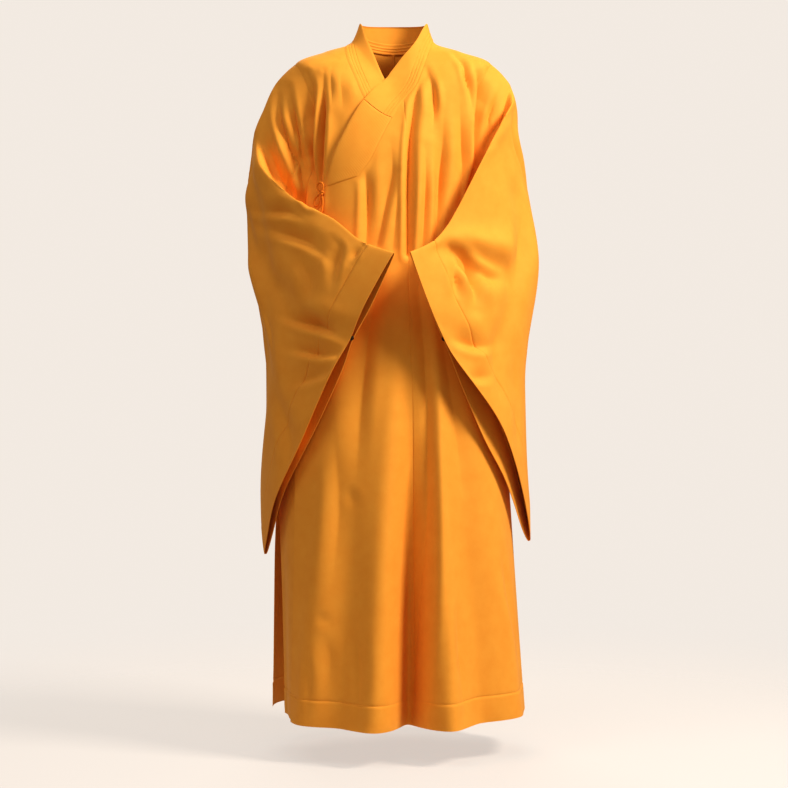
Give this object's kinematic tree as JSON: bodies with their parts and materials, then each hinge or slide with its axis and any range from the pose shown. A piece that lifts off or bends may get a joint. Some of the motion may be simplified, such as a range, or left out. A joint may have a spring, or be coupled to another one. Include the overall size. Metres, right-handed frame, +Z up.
{
  "type": "crossover robe",
  "caption": "Long crossover robe with wide bag sleeves, stitched collar band, front overlap, cord tie and side slit, in the hollow shape it takes when worn.",
  "frame": {"origin": "on the centre plane at the base of the wearer's neck, where the shoulders and neck hold the robe up", "axes": "the robe faces -Y, +Z is up, +X is the wearer's left"},
  "size_m": [0.6174, 0.482, 1.4497],
  "materials": {
    "saffron_cloth": "plain fine weave with a soft low sheen",
    "dark_metal": "dark plated metal"
  },
  "bodies": {
    "root": {"body_left": "saffron_cloth", "body_right": "saffron_cloth", "front_overlap": "saffron_cloth", "collar": "saffron_cloth", "collar_end": "saffron_cloth", "sleeve_left_outer": "saffron_cloth", "sleeve_left_inner": "saffron_cloth", "sleeve_right_outer": "saffron_cloth", "sleeve_right_inner": "saffron_cloth", "tie_knot": "saffron_cloth", "tie_loop": "saffron_cloth", "tie_loop_low": "saffron_cloth", "tie_end_long": "saffron_cloth", "stud_left": "dark_metal", "stud_right": "dark_metal"}
  },
  "joints": []
}
